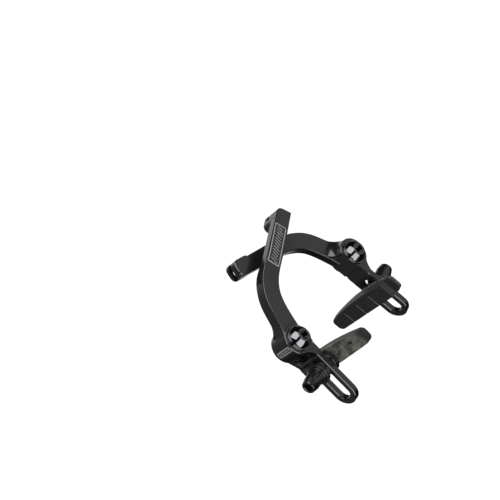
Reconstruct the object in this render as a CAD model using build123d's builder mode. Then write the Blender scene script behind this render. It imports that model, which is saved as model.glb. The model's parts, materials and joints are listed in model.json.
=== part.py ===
from build123d import *
import math
import os

os.makedirs("parts", exist_ok=True)

# The brake stands in the bicycle's own frame: X runs from the left pivot to the right one,
# the front is -Y, +Z is up, and Y = 0 is the face on the frame that both bushings sit against.
# Every size is in millimetres and every angle in degrees.

# Pivots
pivot_spacing = 80.0
splay_angle = 4.0            # how far each arm stands open from its square position
boss_radius = 4.5            # the frame's boss, where a bushing slides over it
boss_seat_depth = 8.0        # how far that wide part of the boss reaches in
boss_tip_radius = 4.0        # the boss is stepped down in front of it
bushing_wall = 1.0
bushing_neck_wall = 0.6
bushing_flange_radius = 6.3
bushing_flange_depth = 0.8
running_gap = 0.08           # radial clearance of the arm on its bushing
end_play = 0.1               # axial clearance of the arm between flange and washer

# Barrel of an arm, the round part that turns on the pivot
barrel_radius = 9.7
barrel_depth = 15.0
barrel_flat = 6.5            # distance of its inner flat from the pivot's axis
barrel_flat_drop = 5.6       # how far the flat reaches below the axis
barrel_edge_break = 0.35
boss_blend_radius = 2.6      # cove where the barrel stands out of the bar

# Pivot bolt and its washer
thread_radius = 3.0
hole_clearance = 0.25
washer_radius = 7.8
washer_thickness = 1.0
washer_edge_break = 0.33
bolt_flange_radius = 7.2
bolt_flange_thickness = 0.9
bolt_head_height = 3.2
bolt_face_radius = 3.9
bolt_dome_bulge = 0.9        # how far the dome stands off a straight cone
bolt_thread_length = 8.3
thread_end_break = 0.6
socket_width = 5.0
socket_depth = 2.8

# Return spring, wound from rectangular wire round the bushing's neck
spring_wire_width = 0.8
spring_wire_height = 1.2
spring_turns = 4.25
spring_gap = 0.15
spring_end_gap = 0.1         # room between the last turn and the washer
spring_tail_length = 2.4
spring_tail_swing = 12.0     # the arm turns this far past the tail
spring_tail_play = 7.0       # and has this much room on each side of it

# Arm bar, seen from the front, measured from the pivot in an arm's square position
outer_edge_turn = 39.0       # where the outer edge leaves the barrel, turned from straight up
outer_edge_way = (0.62, 0.78)
outer_edge_bend = [(-1.5, 16.4), (3.5, 28.1), (14.6, 39.4)]
outer_edge_end = (33.7, 48.5)
outer_run_angle = 22.5
inner_edge_drop = 1.5        # how far below the axis the inner edge starts on the flat
inner_edge_bend = [(8.5, 9.0), (15.2, 25.0), (24.6, 33.4)]
inner_edge_end = (37.0, 38.8)
inner_run_angle = 24.0
left_tip_reach = 63.7        # inward distance of the tip's lower corner
right_tip_reach = 62.7
tip_slant = 3.9              # how far the upper corner stays behind it
tip_corner_radius = 3.6
tip_heel_radius = 2.0
bar_edge_break = 0.6

# Depth of each bar, measured back from the barrel's front face: its front and rear at the root and
# at the tip, and the reach at which each of the two comes to its depth at the tip
front_bar = {"root": (0.4, 8.4), "tip": (-1.9, 4.2), "reach": (30.0, 28.0)}
rear_bar = {"root": (9.0, 14.9), "tip": (10.8, 17.0), "reach": (30.0, 22.0)}

# Cable hook at the tip of each arm, its depths measured back from the barrel's front face
front_hook = {"length": 11.0, "rise": 0.2, "front": -1.9, "rear": 12.5}
rear_hook = {"length": 13.5, "rise": 1.0, "front": 9.9, "rear": 20.4}
hook_edge_break = 0.5
hook_cheek = 2.8
hook_slot_width = 3.0
hook_slot_length = 6.0
hook_pocket_radius = 3.0
hook_pocket_setback = 5.2
hook_pocket_bite = 2.0

# Slotted plate that carries the pad
plate_outer = 1.3            # distance of its outer face from the pivot's axis
plate_thickness = 4.4
plate_width = 16.0
slot_width = 8.4
slot_top = 21.5
slot_bottom = 42.5
plate_edge_break = 0.45
neck_turn = 40.5             # where the hollow starts on the barrel, turned from straight down
neck_hollow = (-1.6, -9.9)
neck_foot = 14.2
web_thickness = 2.2          # wall that closes the hollow at the rear
web_corner = (-3.1, -16.2)
web_foot = 17.0

# Brake pad and its hardware, along the stud's axis
left_stud_drop = 23.6        # below the pivot's axis
right_stud_drop = 26.1
dome_radius = 6.2
dome_sphere = 8.7
dome_rim = 0.6
cup_radius = 7.4
outer_cup_radius = 7.1
cup_gap = 0.05
cup_rim = 1.3
cup_edge_break = 0.3
cup_rim_break = 0.5
inner_stack = 5.2            # from the plate to the back of the pad
outer_stack = 4.3            # from the plate to the flat washer
flat_washer_radius = 5.9
flat_washer_thickness = 0.9
nut_radius = 4.9
nut_end_radius = 4.0
nut_length = 10.9
nut_straight = 6.6           # length of its full-width stretch
nut_lip = 0.5
nut_socket_depth = 5.2
nut_socket_gap = 0.2         # room between the stud's end and the socket
stud_end_break = 0.5
thread_gap = 0.05
stud_head_radius = 4.6
stud_head_thickness = 1.6
stud_head_depth = 2.2

pad_thickness = 7.6
pad_long_end = 34.2
pad_short_end = 26.5
pad_edge_break = 0.7
pad_top = 7.0
pad_crown_place = 2.0        # where along the block its top edge is highest
pad_top_long = 3.9
pad_top_short = 5.6
pad_bottom = -5.0
pad_corner_radius = 3.4
pad_seat_long = 9.0          # the back is flat as far as this towards the long end
pad_seat_short = 11.0
pad_tail_start = 28.0
pad_tail_rise = 2.2
pad_end_rise = 4.4
pad_heel_length = 5.0        # the backing runs on past the block by this
pad_heel_rise = 1.4
pad_heel_thickness = 3.0
pad_heel_slant = 1.8
groove_width = 1.3
groove_depth = 1.8
groove_places = (-6.0, 7.0, 20.0)
groove_stop = 2.4            # how far below the top edge each groove ends
pin_hole_radius = 1.4
pin_hole_depth = 3.0
pin_hole_place = 22.0

# Places that follow from the sizes above
barrel_rear = -bushing_flange_depth - end_play
barrel_front = barrel_rear - barrel_depth
bushing_front = barrel_front - end_play
washer_front = bushing_front - washer_thickness
bolt_face = washer_front - bolt_head_height
arm_bore = boss_radius + bushing_wall + running_gap
bushing_step = -boss_seat_depth - bushing_neck_wall
neck_radius = boss_tip_radius + bushing_neck_wall
spring_inner = neck_radius + spring_gap
spring_mean = spring_inner + spring_wire_width / 2
spring_chamber = spring_inner + spring_wire_width + spring_gap
spring_rear = bushing_step - spring_gap
spring_room = spring_rear - bushing_front - spring_wire_height - spring_end_gap
spring_pitch = spring_room / spring_turns
plate_inner = plate_outer + plate_thickness
plate_centre = barrel_front + plate_width / 2
stud_hole = thread_radius + hole_clearance
washer_seat = plate_outer - outer_stack
nut_seat = washer_seat - flat_washer_thickness
nut_end = nut_seat - nut_length
pad_back = plate_inner + inner_stack
pad_face = pad_back + pad_thickness
root_reach = barrel_radius + boss_blend_radius
backwards = (0, 1, 0)


class Side:
    """One side of the brake: its pivot, and the directions that its arm's sizes run in."""

    def __init__(self, name, sign, stud_drop, tip_reach):
        angle = math.radians(splay_angle)
        self.name = name
        self.stud_drop = stud_drop
        self.tip_reach = tip_reach
        self.pivot_x = sign * pivot_spacing / 2
        self.inward = Vector(-sign * math.cos(angle), 0, -math.sin(angle))
        self.upward = Vector(-sign * math.sin(angle), 0, math.cos(angle))
        self.along_pad = Vector(0, sign, 0)

    def point(self, inward, depth, height):
        """A place given by its distance inwards, its depth along Y and its height."""
        start = Vector(self.pivot_x, depth, 0)
        return start + self.inward * inward + self.upward * height

    def face_plane(self, depth):
        """The arm seen from the front: x inwards, y upwards."""
        return Plane(self.point(0, depth, 0), x_dir=self.inward,
                     z_dir=self.inward.cross(self.upward))

    def top_plane(self):
        """The arm seen from above: x inwards, y towards the rear."""
        return Plane(self.point(0, 0, 0), x_dir=self.inward,
                     z_dir=self.inward.cross(Vector(backwards)))

    def plate_plane(self, inward):
        """The slotted plate seen from the wheel's side: y upwards."""
        return Plane(self.point(inward, plate_centre, 0), x_dir=self.upward.cross(self.inward),
                     z_dir=self.inward)

    def stud_plane(self):
        """A cut along the stud: x along its axis, y out from it."""
        return Plane(self.stud_point(0), x_dir=self.inward,
                     z_dir=self.inward.cross(self.upward))

    def stud_point(self, inward):
        """A place on the stud's axis."""
        return self.point(inward, plate_centre, -self.stud_drop)

    def stud_axis(self):
        return Axis(self.stud_point(0), self.inward)

    def pivot_plane(self):
        """A cut through the pivot: x out from its axis, y towards the rear."""
        return Plane((self.pivot_x, 0, 0))

    def pivot_axis(self):
        return Axis((self.pivot_x, 0, 0), backwards)


left = Side("left", -1, left_stud_drop, left_tip_reach)
right = Side("right", 1, right_stud_drop, right_tip_reach)


def finish(piece, name):
    """Name a piece and write it to its own file."""
    piece.part.label = name
    export_step(piece.part, f"parts/{name}.step")


def distance_from(axis, place):
    """How far a place lies from an axis."""
    reach = place - axis.position
    return (reach - axis.direction * reach.dot(axis.direction)).length


def run_point(start, angle, reach):
    """The point at a given reach on a straight edge that leaves a point at an angle."""
    return (reach, start[1] + (reach - start[0]) * math.tan(math.radians(angle)))


def make_bushing(side):
    """Sleeve that the arm turns on, with a flange against the frame and a slimmer neck."""
    journal = boss_radius + bushing_wall
    with BuildPart() as bushing:
        with BuildSketch(side.pivot_plane()):
            with BuildLine():
                Polyline(
                    (boss_radius, 0),
                    (bushing_flange_radius, 0),
                    (bushing_flange_radius, -bushing_flange_depth),
                    (journal, -bushing_flange_depth),
                    (journal, bushing_step),
                    (neck_radius, bushing_step),
                    (neck_radius, bushing_front),
                    (boss_tip_radius, bushing_front),
                    (boss_tip_radius, -boss_seat_depth),
                    (boss_radius, -boss_seat_depth),
                    close=True,
                )
            make_face()
        revolve(axis=side.pivot_axis())
    finish(bushing, f"pivot_bushing_{side.name}")


def make_spring(side):
    """Return spring: turns of rectangular wire with a tail that hooks into the arm."""
    centre = (side.pivot_x, spring_rear - spring_wire_height / 2, 0)
    with BuildPart() as spring:
        with BuildLine() as coil:
            Helix(spring_pitch, spring_room, spring_mean, center=centre,
                  direction=(0, -1, 0))
        start = coil.line @ 0
        with BuildSketch(Plane(start, x_dir=start - Vector(*centre), z_dir=coil.line % 0)):
            Rectangle(spring_wire_width, spring_wire_height)
        sweep(path=coil.line, is_frenet=True)
        end = coil.line @ 1
        tail = end - Vector(side.pivot_x, end.Y, 0)
        with BuildSketch(Plane(end, x_dir=backwards, z_dir=tail)):
            Rectangle(spring_wire_height, spring_wire_width)
        extrude(amount=spring_tail_length)
    turn = tail.get_signed_angle(-side.inward, Vector(0, 1, 0))
    spring.part = spring.part.rotate(side.pivot_axis(), turn)
    finish(spring, f"return_spring_{side.name}")


def make_washer(side):
    """Flat washer that keeps the arm on its bushing."""
    with BuildPart() as washer:
        with BuildSketch(side.pivot_plane()):
            with BuildLine():
                Polyline(
                    (stud_hole, bushing_front),
                    (washer_radius, bushing_front),
                    (washer_radius, washer_front + washer_edge_break),
                    (washer_radius - washer_edge_break, washer_front),
                    (stud_hole, washer_front),
                    close=True,
                )
            make_face()
        revolve(axis=side.pivot_axis())
    finish(washer, f"pivot_washer_{side.name}")


def make_bolt(side):
    """Domed flange bolt with a hexagon socket."""
    flange_front = washer_front - bolt_flange_thickness
    thread_end = washer_front + bolt_thread_length
    rim = Vector(bolt_face_radius, bolt_face)
    foot = Vector(bolt_flange_radius, flange_front)
    dome_middle = (rim + foot) / 2 + (foot - rim).rotate(Axis.Z, -90).normalized() * bolt_dome_bulge
    with BuildPart() as bolt:
        with BuildSketch(side.pivot_plane()):
            with BuildLine():
                Line((0, bolt_face), rim)
                ThreePointArc(rim, dome_middle, foot)
                Polyline(
                    (bolt_flange_radius, flange_front),
                    (bolt_flange_radius, washer_front),
                    (thread_radius, washer_front),
                    (thread_radius, thread_end - thread_end_break),
                    (thread_radius - thread_end_break, thread_end),
                    (0, thread_end),
                    (0, bolt_face),
                )
            make_face()
        revolve(axis=side.pivot_axis())
        with BuildSketch(Plane((side.pivot_x, bolt_face, 0), x_dir=(1, 0, 0), z_dir=backwards)):
            RegularPolygon(socket_width / 2, 6, major_radius=False)
        extrude(amount=socket_depth, mode=Mode.SUBTRACT)
    finish(bolt, f"pivot_bolt_{side.name}")


def tip_corners(side):
    """The upper and the lower corner of an arm's tip, seen from the front."""
    return (run_point(outer_edge_end, outer_run_angle, side.tip_reach - tip_slant),
            run_point(inner_edge_end, inner_run_angle, side.tip_reach))


def bar_outline(side, depth):
    """The bar's outline as it is seen from the front, at a depth."""
    turn = math.radians(outer_edge_turn)
    outer_start = (-barrel_radius * math.sin(turn), barrel_radius * math.cos(turn))
    inner_start = (barrel_flat, -inner_edge_drop)
    outer_tip, inner_tip = tip_corners(side)
    outer_run = Vector(1, 0).rotate(Axis.Z, outer_run_angle)
    inner_run = Vector(1, 0).rotate(Axis.Z, inner_run_angle)
    with BuildSketch(side.face_plane(depth)) as outline:
        with BuildLine():
            Spline(outer_start, *outer_edge_bend, outer_edge_end,
                   tangents=[outer_edge_way, outer_run], tangent_scalars=[1, 1])
            Line(outer_edge_end, outer_tip)
            Line(outer_tip, inner_tip)
            Line(inner_tip, inner_edge_end)
            Spline(inner_start, *inner_edge_bend, inner_edge_end,
                   tangents=[(0, 1), inner_run], tangent_scalars=[1, 1])
            Polyline(inner_start, (0, -inner_edge_drop), outer_start)
        face = make_face()
        fillet(face.vertices().sort_by_distance(outer_tip)[0], tip_corner_radius)
        fillet(face.vertices().sort_by_distance(inner_tip)[0], tip_heel_radius)
    return outline.sketch


def make_bar(side, bar):
    """The arm's bar: its outline from the front, its depth from above, its long edges broken."""
    far_reach = side.tip_reach + barrel_radius
    front, rear = [[barrel_front + place for place in pair] for pair in zip(bar["root"], bar["tip"])]
    with BuildPart() as arm_bar:
        extrude(bar_outline(side, min(front)), amount=max(rear) - min(front), dir=backwards)

        # Seen from above, it is deeper at the root and thinner where the arms cross
        with BuildSketch(side.top_plane()):
            with BuildLine():
                for (root, tip), reach in zip((front, rear), bar["reach"]):
                    Line((-barrel_radius, root), (root_reach, root))
                    Spline((root_reach, root), (reach, tip), tangents=[(1, 0), (1, 0)])
                    Line((reach, tip), (far_reach, tip))
                Line((-barrel_radius, front[0]), (-barrel_radius, rear[0]))
                Line((far_reach, front[1]), (far_reach, rear[1]))
            make_face()
        extrude(amount=side.tip_reach * 2, both=True, mode=Mode.INTERSECT)

        # Break the long edges, outside the barrel
        walls = arm_bar.faces().filter_by(lambda face: abs(face.normal_at().Y) < 0.1)
        rims = walls.edges().filter_by(lambda edge: abs((edge % 0.5).Y) < 0.5)
        pivot = side.pivot_axis()
        outside = rims.filter_by(lambda edge: distance_from(pivot, edge @ 0.5) > barrel_radius)
        fillet(outside, bar_edge_break)
    return arm_bar.part


def make_cove(side, face, way):
    """Cove that blends the barrel into the bar's face, standing off that face one way."""
    top = face + way * boss_blend_radius
    centre = (barrel_radius + boss_blend_radius, top)
    flat_corner = math.sqrt(barrel_radius ** 2 - barrel_flat ** 2)
    with BuildPart() as cove:
        with BuildSketch(side.pivot_plane()):
            with BuildLine():
                hollow = CenterArc(centre, boss_blend_radius, -way * 90, -way * 90)
                Polyline(hollow @ 0, (arm_bore, face), (arm_bore, top), hollow @ 1)
            make_face()
        revolve(axis=side.pivot_axis())
        extrude(bar_outline(side, min(face, top)), amount=boss_blend_radius, dir=backwards,
                mode=Mode.INTERSECT)
        with BuildSketch(side.face_plane(min(face, top))):
            with Locations((barrel_flat, flat_corner)):
                Rectangle(barrel_radius * 2, barrel_radius * 3, align=(Align.MIN, Align.MAX))
        extrude(amount=boss_blend_radius, dir=backwards, mode=Mode.SUBTRACT)
    return cove.part


def make_plate(side):
    """Slotted plate that carries the pad, with its edges broken."""
    with BuildPart() as plate:
        with BuildSketch(side.plate_plane(plate_outer)):
            with Locations((0, -(slot_bottom + barrel_radius) / 2)):
                Rectangle(plate_width, slot_bottom - barrel_radius)
            with Locations((0, -slot_bottom)):
                Circle(plate_width / 2)
            with Locations(Location((0, -(slot_top + slot_bottom) / 2), 90)):
                SlotCenterToCenter(slot_bottom - slot_top, slot_width, mode=Mode.SUBTRACT)
        extrude(amount=plate_thickness)
        ends = plate.faces().sort_by(Axis((0, 0, 0), side.inward))
        chamfer(ends[0].edges() + ends[-1].edges(), plate_edge_break)
    return plate.part


def make_hook_block(side, hook):
    """Thicker block at the arm's tip, with its edges broken."""
    outer_tip, inner_tip = tip_corners(side)
    run_angle = (outer_run_angle + inner_run_angle) / 2
    run = Vector(1, 0).rotate(Axis.Z, run_angle)
    rise = Vector(0, 1).rotate(Axis.Z, run_angle)
    tip_middle = (Vector(*outer_tip) + Vector(*inner_tip)) / 2
    middle = tip_middle - run * hook["length"] / 2 + rise * hook["rise"] / 2
    width = math.dist(outer_tip, inner_tip) + hook["rise"]
    with BuildPart() as block:
        with BuildSketch(side.face_plane(barrel_front + hook["front"])):
            with Locations(Location(middle, run_angle)):
                RectangleRounded(hook["length"], width, tip_corner_radius)
        extrude(amount=hook["rear"] - hook["front"], dir=backwards)
        ends = block.faces().sort_by(Axis.Y)
        chamfer(ends[0].edges() + ends[-1].edges(), hook_edge_break)
    return block.part


def make_arm(side, bar, hook):
    """One-piece forged arm: curved bar, barrel, slotted plate and cable hook."""
    outer_tip, inner_tip = tip_corners(side)
    tip_middle = (Vector(*outer_tip) + Vector(*inner_tip)) / 2
    tip_width = math.dist(outer_tip, inner_tip)
    run_angle = (outer_run_angle + inner_run_angle) / 2
    run = Vector(1, 0).rotate(Axis.Z, run_angle)
    turn = math.radians(neck_turn)
    neck_edge = (-barrel_radius * math.sin(turn), -barrel_radius * math.cos(turn))
    hook_rear = barrel_front + hook["rear"]

    with BuildPart() as arm:
        # Barrel round the pivot with its rims broken, flat on its inner side
        with BuildSketch(side.pivot_plane()):
            with BuildLine():
                Polyline(
                    (0, barrel_rear),
                    (barrel_radius - barrel_edge_break, barrel_rear),
                    (barrel_radius, barrel_rear - barrel_edge_break),
                    (barrel_radius, barrel_front + barrel_edge_break),
                    (barrel_radius - barrel_edge_break, barrel_front),
                    (0, barrel_front),
                    close=True,
                )
            make_face()
        revolve(axis=side.pivot_axis())
        with BuildSketch(side.face_plane(barrel_front)):
            with Locations((barrel_flat + barrel_radius, 0)):
                Rectangle(barrel_radius * 2, barrel_radius * 3)
        extrude(amount=barrel_depth, dir=backwards, mode=Mode.SUBTRACT)

        # The bar, blended into the barrel on the side where that stands out of it
        add(make_bar(side, bar))
        if bar["root"][0] > boss_blend_radius:
            add(make_cove(side, barrel_front + bar["root"][0], -1))
        else:
            add(make_cove(side, barrel_front + bar["root"][1], 1))

        # Neck under the barrel, hollowed on its outer side down to the plate
        with BuildSketch(side.face_plane(barrel_front)):
            with BuildLine():
                ThreePointArc(neck_edge, neck_hollow, (plate_outer, -neck_foot))
                Polyline(
                    (plate_outer, -neck_foot),
                    (plate_inner, -neck_foot),
                    (plate_inner, -barrel_flat_drop),
                    (barrel_flat, -barrel_flat_drop),
                    (barrel_flat, 0),
                    (0, 0),
                    neck_edge,
                )
            make_face()
        extrude(amount=barrel_depth, dir=backwards)

        # Wall that closes the hollow at the rear
        with BuildSketch(side.face_plane(barrel_rear - web_thickness)):
            with BuildLine():
                Polyline(neck_edge, web_corner, (plate_outer, -web_foot), (plate_inner, -web_foot),
                         (0, 0), close=True)
            make_face()
        extrude(amount=web_thickness, dir=backwards)

        # Slotted plate, and the cable hook's block
        add(make_plate(side))
        add(make_hook_block(side, hook))

        # The wire's slot across the hook, open at the tip, and the pocket for the wire's end
        slot_middle = tip_middle - run * (hook_slot_length - hook["length"]) / 2
        with BuildSketch(side.face_plane(hook_rear - hook_cheek - hook_slot_width)):
            with Locations(Location(slot_middle, run_angle)):
                Rectangle(hook_slot_length + hook["length"], tip_width * 2)
        extrude(amount=hook_slot_width, dir=backwards, mode=Mode.SUBTRACT)
        pocket_depth = hook_cheek + hook_slot_width + hook_pocket_bite
        with BuildSketch(side.face_plane(hook_rear - pocket_depth)):
            with Locations(tip_middle - run * hook_pocket_setback):
                Circle(hook_pocket_radius)
        extrude(amount=pocket_depth, dir=backwards, mode=Mode.SUBTRACT)

        # Bore for the bushing, with the spring's chamber in front of it
        with BuildSketch(side.face_plane(barrel_front)):
            Circle(arm_bore)
        extrude(amount=barrel_depth, dir=backwards, mode=Mode.SUBTRACT)
        with BuildSketch(side.face_plane(barrel_front)):
            Circle(spring_chamber)
        extrude(amount=spring_rear - barrel_front, dir=backwards, mode=Mode.SUBTRACT)

        # Pocket in the barrel's front that the spring's tail presses against
        tail_reach = spring_mean + spring_tail_length + spring_gap
        pocket_start = 180 - spring_tail_swing - spring_tail_play
        pocket_sweep = spring_tail_swing + 2 * spring_tail_play
        with BuildSketch(side.face_plane(barrel_front)):
            with BuildLine():
                pocket_arc = CenterArc((0, 0), tail_reach, pocket_start, pocket_sweep)
                Line(pocket_arc @ 1, (0, 0))
                Line((0, 0), pocket_arc @ 0)
            make_face()
        tail_rear = spring_rear - spring_room + spring_gap
        extrude(amount=tail_rear - barrel_front, dir=backwards, mode=Mode.SUBTRACT)
    finish(arm, f"arm_{side.name}")


def dome_at(radius, sphere):
    """How far a washer's ball face stands off its flat face at a radius."""
    centre = dome_rim - math.sqrt(dome_sphere ** 2 - dome_radius ** 2)
    return centre + math.sqrt(sphere ** 2 - radius ** 2)


def make_dome_washer(side, seat, way, name):
    """Washer with a ball face, flat side against the plate."""
    middle = (stud_hole + dome_radius) / 2
    with BuildPart() as dome:
        with BuildSketch(side.stud_plane()):
            with BuildLine():
                Polyline(
                    (seat + way * dome_at(stud_hole, dome_sphere), stud_hole),
                    (seat, stud_hole),
                    (seat, dome_radius),
                    (seat + way * dome_rim, dome_radius),
                )
                ThreePointArc(
                    (seat + way * dome_rim, dome_radius),
                    (seat + way * dome_at(middle, dome_sphere), middle),
                    (seat + way * dome_at(stud_hole, dome_sphere), stud_hole),
                )
            make_face()
        revolve(axis=side.stud_axis())
    finish(dome, f"{name}_{side.name}")


def make_cup_washer(side, seat, way, depth, radius, name):
    """Washer with a hollow ball face that tilts on the domed one."""
    sphere = dome_sphere + cup_gap
    mouth = math.sqrt(sphere ** 2 - (cup_rim - dome_at(0, sphere) + sphere) ** 2)
    middle = (stud_hole + mouth) / 2
    with BuildPart() as cup:
        with BuildSketch(side.stud_plane()):
            with BuildLine():
                Polyline(
                    (seat + way * cup_rim, mouth),
                    (seat + way * cup_rim, radius - cup_rim_break),
                    (seat + way * (cup_rim + cup_rim_break), radius),
                    (seat + way * (depth - cup_edge_break), radius),
                    (seat + way * depth, radius - cup_edge_break),
                    (seat + way * depth, stud_hole),
                    (seat + way * dome_at(stud_hole, sphere), stud_hole),
                )
                ThreePointArc(
                    (seat + way * dome_at(stud_hole, sphere), stud_hole),
                    (seat + way * dome_at(middle, sphere), middle),
                    (seat + way * cup_rim, mouth),
                )
            make_face()
        revolve(axis=side.stud_axis())
    finish(cup, f"{name}_{side.name}")


def make_flat_washer(side):
    """Thin washer under the pad nut."""
    with BuildPart() as washer:
        with BuildSketch(side.stud_plane()):
            with BuildLine():
                Polyline(
                    (washer_seat, stud_hole),
                    (washer_seat, flat_washer_radius),
                    (nut_seat, flat_washer_radius),
                    (nut_seat, stud_hole),
                    close=True,
                )
            make_face()
        revolve(axis=side.stud_axis())
    finish(washer, f"flat_washer_{side.name}")


def make_nut(side):
    """Barrel nut with a hexagon socket in its outer end."""
    floor = nut_end + nut_socket_depth
    bore = thread_radius + thread_gap
    with BuildPart() as nut:
        with BuildSketch(side.stud_plane()):
            with BuildLine():
                Polyline(
                    (nut_seat, bore),
                    (nut_seat, nut_radius),
                    (nut_seat - nut_straight, nut_radius),
                    (nut_end + nut_lip, nut_end_radius),
                    (nut_end, nut_end_radius - nut_lip),
                    (nut_end, 0),
                    (floor, 0),
                    (floor, bore),
                    close=True,
                )
            make_face()
        revolve(axis=side.stud_axis())
        with BuildSketch(Plane(side.stud_point(nut_end), z_dir=side.inward)):
            RegularPolygon(socket_width / 2, 6, major_radius=False)
        extrude(amount=nut_socket_depth, mode=Mode.SUBTRACT)
    finish(nut, f"pad_nut_{side.name}")


def stud_outline():
    """Half section of the stud with the head that is moulded into the pad."""
    tip = nut_end + nut_socket_depth + nut_socket_gap
    head_back = pad_back + stud_head_depth
    head_front = head_back + stud_head_thickness
    return [
        (tip, 0),
        (tip, thread_radius - stud_end_break),
        (tip + stud_end_break, thread_radius),
        (head_back, thread_radius),
        (head_back, stud_head_radius),
        (head_front, stud_head_radius),
        (head_front, 0),
    ]


def make_stud(side):
    """Threaded stud of the pad."""
    with BuildPart() as stud:
        with BuildSketch(side.stud_plane()):
            with BuildLine():
                Polyline(*stud_outline(), close=True)
            make_face()
        revolve(axis=side.stud_axis())
    finish(stud, f"pad_stud_{side.name}")


def make_pad(side):
    """Moulded brake block: long and short end, grooved face, tapered back."""
    origin = side.stud_point(0)
    heel_end = -pad_short_end + pad_heel_length
    heel_front = pad_back + pad_heel_rise + pad_heel_thickness
    outline_plane = Plane(origin, x_dir=side.along_pad, z_dir=side.along_pad.cross(side.upward))
    thickness_plane = Plane(origin, x_dir=side.along_pad,
                            z_dir=side.along_pad.cross(side.inward))
    with BuildPart() as pad:
        # Outline as the wheel sees it, arched like the rim
        with BuildSketch(outline_plane):
            with BuildLine():
                ThreePointArc((-pad_short_end, pad_top_short), (pad_crown_place, pad_top),
                              (pad_long_end, pad_top_long))
                Polyline(
                    (pad_long_end, pad_top_long),
                    (pad_long_end, pad_bottom),
                    (-pad_short_end, pad_bottom),
                    (-pad_short_end, pad_top_short),
                )
            outline = make_face()
            fillet(outline.vertices(), pad_corner_radius)
        extrude(amount=pad_face, dir=side.inward)

        # Thickness as seen from above: flat seat, tail at the long end, heel at the short one
        with BuildSketch(thickness_plane):
            with BuildLine():
                Polyline(
                    (-pad_short_end, pad_back + pad_heel_rise),
                    (-pad_short_end, heel_front),
                    (heel_end, heel_front),
                    (heel_end + pad_heel_slant, pad_face),
                    (pad_long_end, pad_face),
                    (pad_long_end, pad_back + pad_end_rise),
                    (pad_tail_start, pad_back + pad_tail_rise),
                    (pad_seat_long, pad_back),
                    (-pad_seat_short, pad_back),
                    close=True,
                )
            make_face()
        extrude(amount=pad_top * 2, both=True, mode=Mode.INTERSECT)
        ends = pad.faces().filter_by(GeomType.PLANE).sort_by(Axis(origin, side.inward))
        fillet(ends[-1].edges(), pad_edge_break)

        # Water grooves across the face, open at the lower edge
        for place in groove_places:
            with BuildSketch(outline_plane.offset(-pad_face + groove_depth)):
                with Locations((place, pad_bottom)):
                    Rectangle(groove_width, pad_top - groove_stop - pad_bottom,
                              align=(Align.CENTER, Align.MIN))
            extrude(amount=groove_depth, dir=side.inward, mode=Mode.SUBTRACT)

        # Locating pin's hole in the back
        with BuildSketch(outline_plane.offset(-pad_back)):
            with Locations((pin_hole_place, (pad_top + pad_bottom) / 2)):
                Circle(pin_hole_radius)
        extrude(amount=pad_tail_rise + pin_hole_depth, dir=side.inward, mode=Mode.SUBTRACT)

        # The hollow that the stud's head fills
        with BuildSketch(side.stud_plane()):
            with BuildLine():
                Polyline(*stud_outline(), close=True)
            make_face()
        revolve(axis=side.stud_axis(), mode=Mode.SUBTRACT)
    finish(pad, f"brake_pad_{side.name}")


for side, bar, hook in ((left, front_bar, front_hook), (right, rear_bar, rear_hook)):
    make_bushing(side)
    make_spring(side)
    make_washer(side)
    make_bolt(side)
    make_arm(side, bar, hook)
    make_dome_washer(side, plate_inner, 1, "inner_dome_washer")
    make_cup_washer(side, plate_inner, 1, inner_stack, cup_radius, "inner_cup_washer")
    make_dome_washer(side, plate_outer, -1, "outer_dome_washer")
    make_cup_washer(side, plate_outer, -1, outer_stack, outer_cup_radius, "outer_cup_washer")
    make_flat_washer(side)
    make_nut(side)
    make_stud(side)
    make_pad(side)
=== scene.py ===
"""Dresses the u brake caliper: painted arms, dark plated hardware and moulded pads, in a plain studio."""
import json
import logging
import math
from collections.abc import Callable
from dataclasses import dataclass, field
from enum import Enum

import bmesh
import bpy
from mathutils import Matrix, Vector
from mathutils.bvhtree import BVHTree


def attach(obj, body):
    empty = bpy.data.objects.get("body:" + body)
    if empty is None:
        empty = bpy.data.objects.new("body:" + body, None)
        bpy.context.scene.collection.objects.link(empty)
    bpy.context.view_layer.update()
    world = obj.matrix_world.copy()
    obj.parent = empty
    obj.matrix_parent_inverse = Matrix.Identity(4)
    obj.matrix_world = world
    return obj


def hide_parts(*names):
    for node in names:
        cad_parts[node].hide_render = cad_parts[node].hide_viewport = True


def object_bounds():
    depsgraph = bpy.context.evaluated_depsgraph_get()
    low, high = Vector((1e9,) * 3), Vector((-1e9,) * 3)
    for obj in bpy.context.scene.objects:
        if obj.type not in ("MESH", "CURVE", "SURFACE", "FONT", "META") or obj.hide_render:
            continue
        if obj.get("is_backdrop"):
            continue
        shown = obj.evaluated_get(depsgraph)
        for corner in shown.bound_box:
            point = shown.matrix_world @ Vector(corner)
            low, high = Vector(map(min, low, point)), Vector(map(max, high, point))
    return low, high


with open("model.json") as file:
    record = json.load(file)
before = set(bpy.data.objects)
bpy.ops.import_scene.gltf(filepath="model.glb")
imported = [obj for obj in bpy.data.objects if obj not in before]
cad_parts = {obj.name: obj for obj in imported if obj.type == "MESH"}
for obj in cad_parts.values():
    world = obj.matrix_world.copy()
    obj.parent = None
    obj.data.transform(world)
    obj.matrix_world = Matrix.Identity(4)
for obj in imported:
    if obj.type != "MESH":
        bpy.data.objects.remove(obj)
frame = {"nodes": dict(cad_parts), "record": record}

MM = 0.001
log = logging.getLogger("u_brake")

# Sizes of the caliper that the scene's own pieces sit on, in millimetres and degrees
PIVOT_SPACING = 80.0
SPLAY_ANGLE = 4.0
PLATE_CENTRE = -7.9
PLATE_OUTER = 1.3
PLATE_INNER = 5.7
LEFT_STUD_DROP = 23.6
RIGHT_STUD_DROP = 26.1
THREAD_RADIUS = 3.0
HOLE_RADIUS = 3.25
WASHER_FRONT = -17.0

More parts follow.
